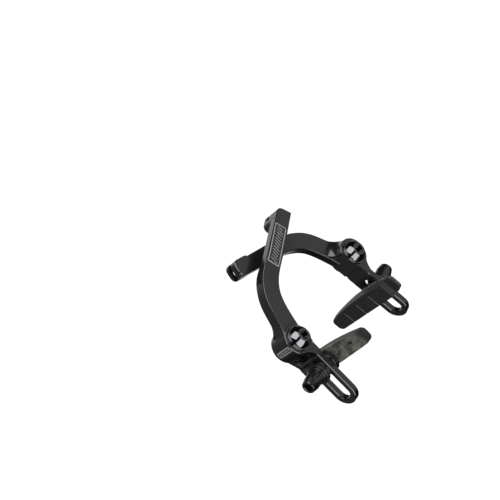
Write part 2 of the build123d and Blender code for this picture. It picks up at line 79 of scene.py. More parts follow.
# Values for drawing, with a place along Y that is ahead of every piece, in millimetres
ROUND_STEPS = 5
HEXAGON_TURN = math.pi / 6
SHARP_ANGLE = math.radians(32)
FRONT_OF_ALL = -60.0
MIDDLE_OF_GRAIN = (0.3, 0.7)
WHOLE = (0.0, 1.0)
WHITE = (1.0, 1.0, 1.0, 1.0)

# A mix node's two inputs and its output by number, for plain values and for colours
VALUE_A, VALUE_B, VALUE_OUT = 2, 3, 0
COLOUR_A, COLOUR_B, COLOUR_OUT = 6, 7, 2

Pair = tuple[float, float]
Way = tuple[float, float, float]
Lay = Callable[[float, float], tuple[Vector, Vector]]
Shape = bmesh.types.BMesh
Socket = bpy.types.NodeSocket
Tree = bpy.types.NodeTree


class Side(Enum):
    """One side of the brake, with the sign of its pivot's place along X."""

    LEFT = -1
    RIGHT = 1

    @property
    def word(self) -> str:
        """The side's name as the nodes and bodies carry it."""
        return self.name.lower()

    @property
    def stud_drop(self) -> float:
        """How far the pad's stud sits below the pivot's axis, in millimetres."""
        return LEFT_STUD_DROP if self is Side.LEFT else RIGHT_STUD_DROP

    @property
    def inward(self) -> Vector:
        """Unit vector square to the slotted plate, towards the wheel."""
        angle = math.radians(SPLAY_ANGLE)
        return Vector((-self.value * math.cos(angle), 0, -math.sin(angle)))

    @property
    def upward(self) -> Vector:
        """Unit vector along the slotted plate, towards the crossing of the arms."""
        angle = math.radians(SPLAY_ANGLE)
        return Vector((-self.value * math.sin(angle), 0, math.cos(angle)))

    def point(self, inward: float, depth: float, height: float) -> Vector:
        """A place on this side in metres.

        Args:
            inward: distance towards the wheel from the pivot's axis, in millimetres.
            depth: place along Y, in millimetres.
            height: distance along the plate from the pivot's axis, in millimetres.

        Returns:
            The place in the row frame, in metres.
        """
        pivot = Vector((self.value * PIVOT_SPACING / 2, depth, 0))
        return (pivot + self.inward * inward + self.upward * height) * MM


def linear(hex_colour: str) -> tuple[float, float, float, float]:
    """Turns an sRGB hex colour into linear light.

    Args:
        hex_colour: six hex digits after a number sign.

    Returns:
        Red, green, blue and alpha, each from 0 to 1.
    """
    channels = [int(hex_colour[i:i + 2], 16) / 255 for i in (1, 3, 5)]
    light = [c / 12.92 if c <= 0.04045 else ((c + 0.055) / 1.055) ** 2.4 for c in channels]
    return (light[0], light[1], light[2], 1.0)


def add_node(tree: Tree, kind: str, settings: dict[str | int, object] | None = None) -> bpy.types.Node:
    """Adds a shader node with its settings and what feeds it.

    Args:
        tree: the node tree that gets the node.
        kind: Blender's name of the node type, without its first two words.
        settings: attributes or inputs, by name or number, with their values or the sockets that feed
            them. An attribute that changes the inputs comes first.

    Returns:
        The new node.
    """
    node = tree.nodes.new(f"ShaderNode{kind}")
    for name, value in (settings or {}).items():
        if isinstance(value, Socket):
            tree.links.new(value, node.inputs[name])
        elif isinstance(name, str) and hasattr(node, name):
            setattr(node, name, value)
        else:
            node.inputs[name].default_value = value
    return node


def add_ramp(tree: Tree, value: Socket, span: Pair = WHOLE, results: Pair = WHOLE,
             soft: bool = False) -> Socket:
    """Maps a value from one range to another, and holds it beyond the ends.

    Args:
        tree: the node tree that gets the ramp.
        value: the socket that is mapped.
        span: the values at the ramp's two ends.
        results: what the ramp gives there.
        soft: whether it eases in and out.

    Returns:
        The result's socket.
    """
    ramp = add_node(tree, "MapRange", {"interpolation_type": "SMOOTHSTEP" if soft else "LINEAR",
                                       "Value": value, "From Min": span[0], "From Max": span[1],
                                       "To Min": results[0], "To Max": results[1]})
    return ramp.outputs["Result"]


def metres(pair: Pair) -> Pair:
    """The same two lengths, turned from millimetres into metres."""
    return (pair[0] * MM, pair[1] * MM)


def add_object(name: str, data: bpy.types.ID) -> bpy.types.Object:
    """Puts a new object into the scene.

    Args:
        name: the object's name.
        data: its mesh, light or camera.

    Returns:
        The new object.
    """
    new = bpy.data.objects.new(name, data)
    bpy.context.scene.collection.objects.link(new)
    return new


def close_rows(shape: Shape, rows: list[list[bmesh.types.BMVert]]) -> None:
    """Joins rows of corners, one after another, into a closed skin with a cap at each end.

    Args:
        shape: the shape that holds the corners.
        rows: the rows, each with as many corners as the others.
    """
    for one, two in zip(rows, rows[1:]):
        for i in range(len(one)):
            j = (i + 1) % len(one)
            shape.faces.new((one[i], one[j], two[j], two[i]))
    shape.faces.new(rows[0])
    shape.faces.new(list(reversed(rows[-1])))


@dataclass(frozen=True)
class Finish:
    """A surface as it is made, with the look that its process gives it.

    The cloud is a slow drift of colour and gloss. The grain is a fine relief whose size is given
    along X, Y and Z, so that a drawn-out grain becomes lines.
    """

    name: str
    colour: str
    second_colour: str
    metallic: float
    roughness: float
    roughness_play: float
    coat: float = 0.0
    coat_roughness: float = 0.05
    coat_ior: float = 1.5
    cloud_mm: float = 12.0
    grain_mm: Way = (0.3, 0.3, 0.3)
    grain_height_mm: float = 0.01
    grain_shade: float = 0.0

    def base_colour(self, tree: Tree, place: Socket, cloud: Socket, grain: Socket) -> Socket:
        """Mixes the two colours by the cloud and shades them by the grain.

        Args:
            tree: the material's node tree.
            place: the point's place on the object.
            cloud: the slow pattern, from 0 to 1.
            grain: the fine pattern, from 0 to 1.

        Returns:
            The colour's socket.
        """
        colour = add_node(tree, "Mix", {"data_type": "RGBA", "Factor": cloud, COLOUR_A: linear(self.colour),
                                        COLOUR_B: linear(self.second_colour)}).outputs[COLOUR_OUT]
        shade = add_ramp(tree, grain, MIDDLE_OF_GRAIN, (1 - self.grain_shade, 1 + self.grain_shade))
        shaded = add_node(tree, "VectorMath", {"operation": "SCALE", "Vector": colour, "Scale": shade})
        return shaded.outputs["Vector"]

    def material(self) -> bpy.types.Material:
        """Builds the finish as a material: clouded colour, uneven gloss and a fine grain.

        Returns:
            The new material.
        """
        material = bpy.data.materials.new(self.name)
        material.use_nodes = True
        tree = material.node_tree
        shader = tree.nodes["Principled BSDF"]
        place = add_node(tree, "TexCoord").outputs["Object"]
        cloud = add_node(tree, "TexNoise", {"Vector": place, "Scale": 1 / (self.cloud_mm * MM),
                                            "Detail": 4.0, "Roughness": 0.55}).outputs["Fac"]
        drawn = add_node(tree, "Mapping", {"Vector": place,
                                           "Scale": tuple(1 / (size * MM) for size in self.grain_mm)})
        grain = add_node(tree, "TexNoise", {"Vector": drawn.outputs["Vector"], "Scale": 1.0,
                                            "Detail": 2.0}).outputs["Fac"]
        gloss = add_ramp(tree, cloud, results=(self.roughness - self.roughness_play,
                                               self.roughness + self.roughness_play))
        bump = add_node(tree, "Bump", {"Height": grain, "Distance": self.grain_height_mm * MM})
        colour = self.base_colour(tree, place, cloud, grain)
        tree.links.new(colour, shader.inputs["Base Color"])
        tree.links.new(gloss, shader.inputs["Roughness"])
        tree.links.new(bump.outputs["Normal"], shader.inputs["Normal"])
        shader.inputs["Metallic"].default_value = self.metallic
        shader.inputs["Coat Weight"].default_value = self.coat
        shader.inputs["Coat Roughness"].default_value = self.coat_roughness
        shader.inputs["Coat IOR"].default_value = self.coat_ior
        return material


@dataclass(frozen=True)
class DustedRubberGrooveHighlight(Finish):
    """Moulded rubber whose back keeps a dusty bloom from the mould, and a painted highlight on the groove
    walls that face the front.

    The bloom's depths are distances from the middle of the brake, where it starts and is full. Its
    run is along Y, from its thin end to its full end.
    """

    bloom_colour: str = "#8d8d82"
    bloom_mm: float = 5.0
    bloom_depths_mm: Pair = (27.2, 28.6)
    bloom_run_mm: Pair = (-3.0, -15.0)
    bloom_thin: float = 0.15
    blotch_noise: Pair = (0.42, 0.62)
    blotch_amount: Pair = (0.12, 0.95)
    # Colour of the painted highlight on the groove walls that face the front
    groove_highlight_colour: str = "#8f8f8a"
    groove_band_mm: Pair = (-31.0, 14.5)
    groove_floor_mm: float = 24.6
    wall_facing: Pair = (-0.95, -0.98)

    @staticmethod
    def product(tree: Tree, one: Socket, other: Socket) -> Socket:
        """The product of two sockets."""
        return add_node(tree, "Math", {"operation": "MULTIPLY", 0: one, 1: other}).outputs["Value"]

    def bloom(self, tree: Tree, place: Socket, reach: Socket, depth: Socket) -> Socket:
        """Amount of bloom: blotches on the pad's back that grow towards its long end.

        Args:
            tree: the material's node tree.
            place: the point's place on the object.
            reach: the point's distance from the middle of the brake.
            depth: the point's place along Y.

        Returns:
            The amount's socket, from 0 to 1.
        """
        blotch = add_node(tree, "TexNoise", {"Vector": place, "Scale": 1 / (self.bloom_mm * MM),
                                             "Detail": 5.0, "Roughness": 0.62})
        back = add_ramp(tree, reach, metres(self.bloom_depths_mm))
        patch = add_ramp(tree, blotch.outputs["Fac"], self.blotch_noise, self.blotch_amount)
        run = add_ramp(tree, depth, metres(self.bloom_run_mm), (self.bloom_thin, 1.0))
        return self.product(tree, self.product(tree, back, run), patch)

    def painted_groove_highlight(self, tree: Tree, reach: Socket, depth: Socket) -> Socket:
        """Mask of the groove walls that face the front, where the painted highlight goes.

        Args:
            tree: the material's node tree.
            reach: the point's distance from the middle of the brake.
            depth: the point's place along Y.

        Returns:
            The mask's socket, from 0 to 1.
        """
        surface = add_node(tree, "NewGeometry")
        way = add_node(tree, "SeparateXYZ", {"Vector": surface.outputs["True Normal"]})
        lit_wall_mask = add_ramp(tree, way.outputs["Y"], self.wall_facing)
        front_end, rear_end = self.groove_band_mm
        for operation, limit, source in (("LESS_THAN", self.groove_floor_mm, reach),
                                         ("GREATER_THAN", front_end, depth), ("LESS_THAN", rear_end, depth)):
            inside = add_node(tree, "Math", {"operation": operation, 0: source, 1: limit * MM})
            lit_wall_mask = self.product(tree, lit_wall_mask, inside.outputs["Value"])
        return lit_wall_mask

    def base_colour(self, tree: Tree, place: Socket, cloud: Socket, grain: Socket) -> Socket:
        """Adds blotches of bloom on the pad's back, and a painted highlight on the front-facing walls in the
        grooves of its face.

        Args:
            tree: the material's node tree.
            place: the point's place on the object.
            cloud: the slow pattern, from 0 to 1.
            grain: the fine pattern, from 0 to 1.

        Returns:
            The colour's socket.
        """
        colour = super().base_colour(tree, place, cloud, grain)
        parts = add_node(tree, "SeparateXYZ", {"Vector": place})
        reach = add_node(tree, "Math", {"operation": "ABSOLUTE", 0: parts.outputs["X"]}).outputs["Value"]
        depth = parts.outputs["Y"]
        # The bloom is dust; the groove colour is a painted highlight on the walls that face the front
        for hex_colour, amount in ((self.bloom_colour, self.bloom(tree, place, reach, depth)),
                                   (self.groove_highlight_colour, self.painted_groove_highlight(tree, reach, depth))):
            colour = add_node(tree, "Mix", {"data_type": "RGBA", "Factor": amount, COLOUR_A: colour,
                                            COLOUR_B: linear(hex_colour)}).outputs[COLOUR_OUT]
        return colour


# Satin black paint on forged aluminium: dark grey with a soft sheen and a faint orange peel
SATIN_PAINT = Finish("satin_paint", "#1b1b1b", "#1f1f1e", metallic=0.0, roughness=0.32,
                     roughness_play=0.04, coat=0.8, coat_roughness=0.15, coat_ior=1.95,
                     grain_mm=(0.5, 0.5, 0.5), grain_height_mm=0.005, grain_shade=0.08)
# Black chrome on turned steel: deep mirror black that throws crisp light patches
BLACK_CHROME = Finish("black_chrome", "#88888b", "#8e8e91", metallic=1.0, roughness=0.1,
                      roughness_play=0.02, grain_height_mm=0.0005)
# Black oxide on turned steel, kept under oil: near black and half glossy
BLACK_OXIDE = Finish("black_oxide", "#171718", "#1e1e1f", metallic=0.0, roughness=0.34,
                     roughness_play=0.05, coat=1.0, coat_roughness=0.16, coat_ior=1.8,
                     grain_mm=(0.5, 0.5, 0.5), grain_height_mm=0.002)
# Moulded rubber: matt dark grey with fine lines along the block, coarser here than the real ones
# The groove walls that face the front carry a painted highlight
MOULDED_RUBBER = DustedRubberGrooveHighlight("moulded_rubber", "#363638", "#3e3e40", metallic=0.0, roughness=0.5,
                              roughness_play=0.06, grain_mm=(0.8, 9.0, 0.8), grain_height_mm=0.03,
                              grain_shade=0.12)
# Turned brass: warm metal with rings left by the tool
TURNED_BRASS = Finish("turned_brass", "#54442a", "#483a22", metallic=1.0, roughness=0.3,
                      roughness_play=0.05, grain_mm=(3.0, 0.3, 3.0), grain_height_mm=0.004)
# Drawn spring steel: grey wire, half polished
SPRING_STEEL = Finish("spring_steel", "#8a8a8c", "#7b7b7e", metallic=1.0, roughness=0.32,
                      roughness_play=0.06, grain_mm=(2.0, 0.3, 2.0), grain_height_mm=0.004)
# Pad-printed ink: light grey, matt and slightly broken by the paint's grain
PRINTED_INK = Finish("printed_ink", "#d2d2d1", "#bcbcbb", metallic=0.0, roughness=0.55,
                     roughness_play=0.04, cloud_mm=2.0, grain_mm=(0.6, 0.6, 0.6), grain_shade=0.12)

FINISH_OF_SLOT = {
    "arm_paint": SATIN_PAINT,
    "pivot_hardware": BLACK_CHROME,
    "pad_hardware": BLACK_OXIDE,
    "bushing_brass": TURNED_BRASS,
    "spring_steel": SPRING_STEEL,
    "pad_rubber": MOULDED_RUBBER,
}


@dataclass
class Workshop:
    """Keeps one material per finish and puts finished meshes into the scene."""

    materials: dict[str, bpy.types.Material] = field(default_factory=dict)

    def material_of(self, finish: Finish) -> bpy.types.Material:
        """The finish's material, made the first time that it is asked for.

        Args:
            finish: the surface that is wanted.

        Returns:
            The one material that every piece with this finish shares.
        """
        if finish.name not in self.materials:
            self.materials[finish.name] = finish.material()
        return self.materials[finish.name]

    def place(self, name: str, shape: Shape, finish: Finish, slot: str, body: str) -> bpy.types.Object:
        """Turns a shape into a dressed piece that rides on a body.

        Args:
            name: the piece's name.
            shape: the finished shape in metres, in the row frame; it is freed.
            finish: the piece's surface.
            slot: the record's material slot that the finish stands for; not used.
            body: the body that carries the piece.

        Returns:
            The new object.
        """
        bmesh.ops.recalc_face_normals(shape, faces=shape.faces)
        mesh = bpy.data.meshes.new(name)
        shape.to_mesh(mesh)
        shape.free()
        mesh.shade_smooth()
        mesh.set_sharp_from_angle(angle=SHARP_ANGLE)
        mesh.materials.append(self.material_of(finish))
        piece = add_object(name, mesh)
        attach(piece, body)
        log.info("%s: %d faces on %s", name, len(mesh.polygons), body)
        return piece

    def dress_nodes(self) -> None:
        """Gives every node that came with the frame the finish of its slot."""
        for row in frame["record"]["subparts"]:
            node = frame["nodes"][row["node"]]
            node.data.materials.clear()
            node.data.materials.append(self.material_of(FINISH_OF_SLOT[row["material_slot"]]))
            log.info("%s wears %s", row["node"], row["material_slot"])


class Section(Enum):
    """Shape of a turned piece's cross-section at one place along its axis."""

    ROUND = "round"
    HEXAGON = "hexagon"
    THREAD = "thread"


@dataclass(frozen=True)
class Station:
    """One corner of a turned piece's outline.

    The reach is a radius, or half the width across the flats of a hexagon.
    """

    place: float
    reach: float
    corner: float = 0.0
    section: Section = Section.ROUND


@dataclass(frozen=True)
class Thread:
    """Coarse metric thread, cut into a shank between two places along its axis."""

    start: float
    end: float
    major: float = 2.97
    minor: float = 2.42
    pitch: float = 1.0
    run_out: float = 1.0
    flank_slope: float = 1.35
    root_flat: float = 0.12
    samples: int = 10

    def stations(self) -> list[Station]:
        """Divides the thread finely along the axis.

        Returns:
            The thread's outline, from its start to its end.
        """
        count = math.ceil(abs(self.end - self.start) / self.pitch * self.samples)
        return [Station(self.start + (self.end - self.start) * i / count, self.major,
                        section=Section.THREAD) for i in range(count + 1)]

    def reach_at(self, place: float, angle: float) -> float:
        """Radius of the thread at one point.

        Args:
            place: distance along the axis, in millimetres.
            angle: turn round the axis, in radians.

        Returns:
            The radius there, in millimetres.
        """
        phase = (place / self.pitch - angle / math.tau) % 1.0
        cut = min(max(abs(phase - 0.5) * 2 * self.flank_slope - self.root_flat, 0.0), 1.0)
        from_end = min(abs(place - self.start), abs(place - self.end)) / self.run_out
        return self.major - (self.major - self.minor) * cut * min(from_end, 1.0)


@dataclass(frozen=True)
class TurnedPiece:
    """A piece turned on a lathe: an outline that runs round an axis, with its corners rounded."""

    stations: tuple[Station, ...]
    closed: bool = False
    thread: Thread | None = None
    hexagon_turn: float = 0.0
    segments: int = 96

    def rounded(self) -> list[Station]:
        """Draws every corner that has a radius as a short arc.

        Returns:
            The finished outline.
        """
        done: list[Station] = []
        count = len(self.stations)
        for i, here in enumerate(self.stations):
            before, after = self.stations[i - 1], self.stations[(i + 1) % count]
            if here.corner == 0.0:
                done.append(here)
                continue
            corner = Vector((here.place, here.reach))
            ways = [(Vector((s.place, s.reach)) - corner).normalized() for s in (before, after)]
            half = ways[0].angle(ways[1]) / 2
            setback = here.corner / math.tan(half)
            centre = corner + (ways[0] + ways[1]).normalized() * here.corner / math.sin(half)
            ends = [corner + way * setback - centre for way in ways]
            for step in range(ROUND_STEPS + 1):
                spoke = ends[0].slerp(ends[1], step / ROUND_STEPS)
                spot = centre + spoke.normalized() * here.corner
                done.append(Station(spot.x, spot.y, section=here.section))
        return done

    def reach(self, station: Station, angle: float) -> float:
        """Distance of the surface from the axis.

        Args:
            station: the place along the outline.
            angle: turn round the axis, in radians.

        Returns:
            The distance there, in millimetres.
        """
        if station.section is Section.HEXAGON:
            part = (angle + self.hexagon_turn) % (math.pi / 3) - math.pi / 6
            return station.reach / math.cos(part)
        if station.section is Section.THREAD:
            return self.thread.reach_at(station.place, angle)
        return station.reach

    def shape(self, origin: Vector, axis: Vector) -> Shape:
        """Turns the outline round its axis.

        Args:
            origin: the place on the axis that the outline is measured from, in metres.
            axis: unit vector along which the outline's places run.

        Returns:
            The finished shape, in metres.
        """
        shape = bmesh.new()
        across = axis.orthogonal().normalized() if axis.y else Vector((0, 1, 0))
        aside = axis.cross(across)
        rings = []
        for station in self.rounded():
            middle = origin + axis * station.place * MM
            if station.reach == 0.0:
                rings.append([shape.verts.new(middle)])
                continue
            ring = []
            for i in range(self.segments):
                angle = math.tau * i / self.segments
                way = across * math.cos(angle) + aside * math.sin(angle)
                ring.append(shape.verts.new(middle + way * self.reach(station, angle) * MM))
            rings.append(ring)
        pairs = list(zip(rings, rings[1:]))
        if self.closed:
            pairs.append((rings[-1], rings[0]))
        for low, high in pairs:
            for i in range(self.segments):
                j = (i + 1) % self.segments
                corners = [low[i % len(low)], low[j % len(low)], high[j % len(high)], high[i % len(high)]]
                shape.faces.new(list(dict.fromkeys(corners)))
        return shape


@dataclass
class PivotHardware:
    """Domed flange bolt with its thread, and the washer behind it, at one pivot."""

    workshop: Workshop
    side: Side
    flange_radius: float = 7.0
    flange_thickness: float = 0.9
    head_height: float = 4.3
    face_radius: float = 3.8
    dome_bulge: float = 0.3
    dome_steps: int = 14
    shank_end: float = -8.7
    shank_end_break: float = 0.6
    thread_ends: Pair = (0.5, 1.2)
    socket_width: float = 5.0
    socket_depth: float = 2.8
    socket_break: float = 0.25
    socket_floor_radius: float = 1.9
    socket_floor_rise: float = 0.3
    face_round: float = 0.25
    flange_round: float = 0.12
    washer_radius: float = 7.8
    washer_back: float = -16.0
    washer_rounds: Pair = (0.15, 0.3)

    def dome(self) -> list[Station]:
        """Draws the dome from the face's rim to the flange, bulged off a straight cone.

        Returns:
            The corners between the face and the flange.
        """
        rim = Vector((WASHER_FRONT - self.head_height, self.face_radius))
        foot = Vector((WASHER_FRONT - self.flange_thickness, self.flange_radius))
        chord = foot - rim
        off = Vector((-chord.y, chord.x)).normalized()
        stations = []
        for i in range(1, self.dome_steps):
            part = i / self.dome_steps
            spot = rim + chord * part + off * self.dome_bulge * 4 * part * (1 - part)
            stations.append(Station(spot.x, spot.y))
        return stations

    def make_bolt(self) -> None:
        """Turns the bolt: socket, face, dome, flange and threaded shank."""
        face = WASHER_FRONT - self.head_height
        flat = self.socket_width / 2
        floor = face + self.socket_depth
        thread = Thread(self.shank_end - self.thread_ends[0], WASHER_FRONT + self.thread_ends[1])
        outline = [
            Station(floor, 0.0),
            Station(floor - self.socket_floor_rise, self.socket_floor_radius),
            Station(floor - self.socket_floor_rise, flat, section=Section.HEXAGON),
            Station(face + self.socket_break, flat, section=Section.HEXAGON),
            Station(face, flat + self.socket_break, section=Section.HEXAGON),
            Station(face, self.face_radius, corner=self.face_round),
            *self.dome(),
            Station(WASHER_FRONT - self.flange_thickness, self.flange_radius, corner=self.flange_round),
            Station(WASHER_FRONT, self.flange_radius, corner=self.flange_round),
            Station(WASHER_FRONT, THREAD_RADIUS),
            *reversed(thread.stations()),
            Station(self.shank_end, THREAD_RADIUS - self.shank_end_break),
            Station(self.shank_end, 0.0),
        ]
        bolt = TurnedPiece(tuple(outline), thread=thread, hexagon_turn=HEXAGON_TURN)
        self.finish_piece(bolt, "pivot_bolt")

    def make_washer(self) -> None:
        """Turns the washer, with its rims rounded."""
        back_round, front_round = self.washer_rounds
        outline = (
            Station(self.washer_back, HOLE_RADIUS),
            Station(self.washer_back, self.washer_radius, corner=back_round),
            Station(WASHER_FRONT, self.washer_radius, corner=front_round),
            Station(WASHER_FRONT, HOLE_RADIUS),
        )
        self.finish_piece(TurnedPiece(outline, closed=True), "pivot_washer")

    def finish_piece(self, turned: TurnedPiece, node: str) -> None:
        """Places a turned piece on the pivot's axis instead of the plain node of the same name.

        Args:
            turned: the piece.
            node: the node's name without its side.
        """
        name = f"{node}_{self.side.word}"
        shape = turned.shape(self.side.point(0, 0, 0), Vector((0, 1, 0)))
        piece = self.workshop.place(f"turned_{name}", shape, BLACK_CHROME, "pivot_hardware", "pivots")
        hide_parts(name)

    def build(self) -> None:
        """Makes both pieces."""
        self.make_bolt()
        self.make_washer()


@dataclass
class PadHardware:
    """Cup washers, flat washer, barrel nut and threaded stud of one pad."""

    workshop: Workshop
    side: Side
    dome_radius: float = 6.2
    dome_sphere: float = 8.7
    dome_rim: float = 0.6
    cup_gap: float = 0.05
    cup_rim: float = 1.3
    inner_cup_radius: float = 7.4
    outer_cup_radius: float = 7.1
    cup_rounds: Pair = (0.45, 0.3)
    inner_stack: float = 5.2
    outer_stack: float = 4.3
    flat_washer_radius: float = 5.9
    flat_washer_thickness: float = 0.9
    flat_washer_rounds: Pair = (0.12, 0.25)
    nut_radius: float = 4.9
    nut_end_radius: float = 4.0
    nut_length: float = 10.885
    nut_straight: float = 6.6
    nut_bore: float = 3.05
    nut_rounds: Way = (0.2, 1.6, 0.5)
    socket_width: float = 5.0
    socket_depth: float = 5.2
    socket_break: float = 0.3
    stud_gap: float = 0.2
    stud_tip_break: float = 0.5
    stud_plain_length: float = 2.6
    stud_head_radius: float = 4.6
    stud_head_round: float = 0.2
    stud_head_places: Pair = (13.1, 14.7)
    thread_samples: int = 8
    stud_segments: int = 64
    hollow_steps: int = 8

    @property
    def ball_centre(self) -> float:
        """Height over the plate of the centre that both ball faces share."""
        return self.dome_rim - math.sqrt(self.dome_sphere ** 2 - self.dome_radius ** 2)

    @property
    def washer_seat(self) -> float:
        """Place of the flat washer's back along the stud."""
        return PLATE_OUTER - self.outer_stack

    @property
    def nut_seat(self) -> float:
        """Place of the nut's back along the stud."""
        return self.washer_seat - self.flat_washer_thickness

    @property
    def nut_end(self) -> float:
        """Place of the nut's free end along the stud."""
        return self.nut_seat - self.nut_length

    def place(self, turned: TurnedPiece, node: str, body: str) -> None:
        """Places a turned piece on the stud's axis instead of the plain node of the same name.

        Args:
            turned: the piece.
            node: the node's name without its side.
            body: the body's name without its side.
        """
        name = f"{node}_{self.side.word}"
        shape = turned.shape(self.side.point(0, PLATE_CENTRE, -self.side.stud_drop), self.side.inward)
        piece = self.workshop.place(f"turned_{name}", shape, BLACK_OXIDE, "pad_hardware",
                                    f"{self.side.word}_{body}")
        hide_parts(name)

    def hollow_at(self, radius: float) -> float:
        """How far a cup's hollow ball face stands off the plate at a radius."""
        return self.ball_centre + math.sqrt((self.dome_sphere + self.cup_gap) ** 2 - radius ** 2)

    def make_cup(self, seat: float, way: int, depth: float, radius: float, node: str) -> None:
        """Turns a cup washer with a hollow ball face.

        Args:
            seat: place of the plate's face along the stud.
            way: 1 towards the wheel, -1 away from it.
            depth: height of the cup's flat back over the plate.
            radius: outer radius of the cup.
            node: the node that it stands for.
        """
        sphere = self.dome_sphere + self.cup_gap
        mouth = math.sqrt(sphere ** 2 - (self.cup_rim - self.ball_centre) ** 2)
        radii = [HOLE_RADIUS + (mouth - HOLE_RADIUS) * i / self.hollow_steps
                 for i in range(self.hollow_steps + 1)]
        outline = [Station(seat + way * self.hollow_at(r), r) for r in radii]
        outline += [
            Station(seat + way * self.cup_rim, radius, corner=self.cup_rounds[0]),
            Station(seat + way * depth, radius, corner=self.cup_rounds[1]),
            Station(seat + way * depth, HOLE_RADIUS),
        ]
        self.place(TurnedPiece(tuple(outline), closed=True), node, "hardware")

    def make_flat_washer(self) -> None:
        """Turns the thin washer under the nut."""
        seat_round, nut_round = self.flat_washer_rounds
        outline = (
            Station(self.washer_seat, HOLE_RADIUS),
            Station(self.washer_seat, self.flat_washer_radius, corner=seat_round),
            Station(self.nut_seat, self.flat_washer_radius, corner=nut_round),
            Station(self.nut_seat, HOLE_RADIUS),
        )
        self.place(TurnedPiece(outline, closed=True), "flat_washer", "hardware")

    def make_nut(self) -> None:
        """Turns the barrel nut: straight stretch, taper, rounded end and hexagon socket."""
        flat = self.socket_width / 2
        floor = self.nut_end + self.socket_depth
        seat_round, taper_round, end_round = self.nut_rounds
        outline = (
            Station(self.nut_seat, self.nut_bore),
            Station(self.nut_seat, self.nut_radius, corner=seat_round),
            Station(self.nut_seat - self.nut_straight, self.nut_radius, corner=taper_round),
            Station(self.nut_end, self.nut_end_radius, corner=end_round),
            Station(self.nut_end, flat + self.socket_break, section=Section.HEXAGON),
            Station(self.nut_end + self.socket_break, flat, section=Section.HEXAGON),
            Station(floor, flat, section=Section.HEXAGON),
            Station(floor, self.nut_bore),
        )
        self.place(TurnedPiece(outline, closed=True, hexagon_turn=HEXAGON_TURN), "pad_nut", "hardware")

    def make_stud(self) -> None:
        """Turns the threaded stud with the head that is moulded into the pad."""
        tip = self.nut_end + self.socket_depth + self.stud_gap
        head_back, head_front = self.stud_head_places
        thread = Thread(tip + self.stud_tip_break, head_back - self.stud_plain_length,
                        samples=self.thread_samples)
        outline = [
            Station(tip, 0.0),
            Station(tip, THREAD_RADIUS - self.stud_tip_break),
            *thread.stations(),
            Station(head_back, THREAD_RADIUS),
            Station(head_back, self.stud_head_radius, corner=self.stud_head_round),
            Station(head_front, self.stud_head_radius, corner=self.stud_head_round),
            Station(head_front, 0.0),
        ]
        stud = TurnedPiece(tuple(outline), thread=thread, segments=self.stud_segments)
        self.place(stud, "pad_stud", "pad")

    def build(self) -> None:
        """Makes the pad's hardware."""
        self.make_cup(PLATE_INNER, 1, self.inner_stack, self.inner_cup_radius, "inner_cup_washer")
        self.make_cup(PLATE_OUTER, -1, self.outer_stack, self.outer_cup_radius, "outer_cup_washer")
        self.make_flat_washer()
        self.make_nut()
        self.make_stud()


def arm_surface(side: Side) -> BVHTree:
    """Surface of one arm, for finding places on it.

    Args:
        side: the arm's side.

    Returns:
        The surface as a tree that rays can be cast at.
    """
    mesh = frame["nodes"][f"arm_{side.word}"].data
    return BVHTree.FromPolygons([v.co for v in mesh.vertices], [p.vertices for p in mesh.polygons])


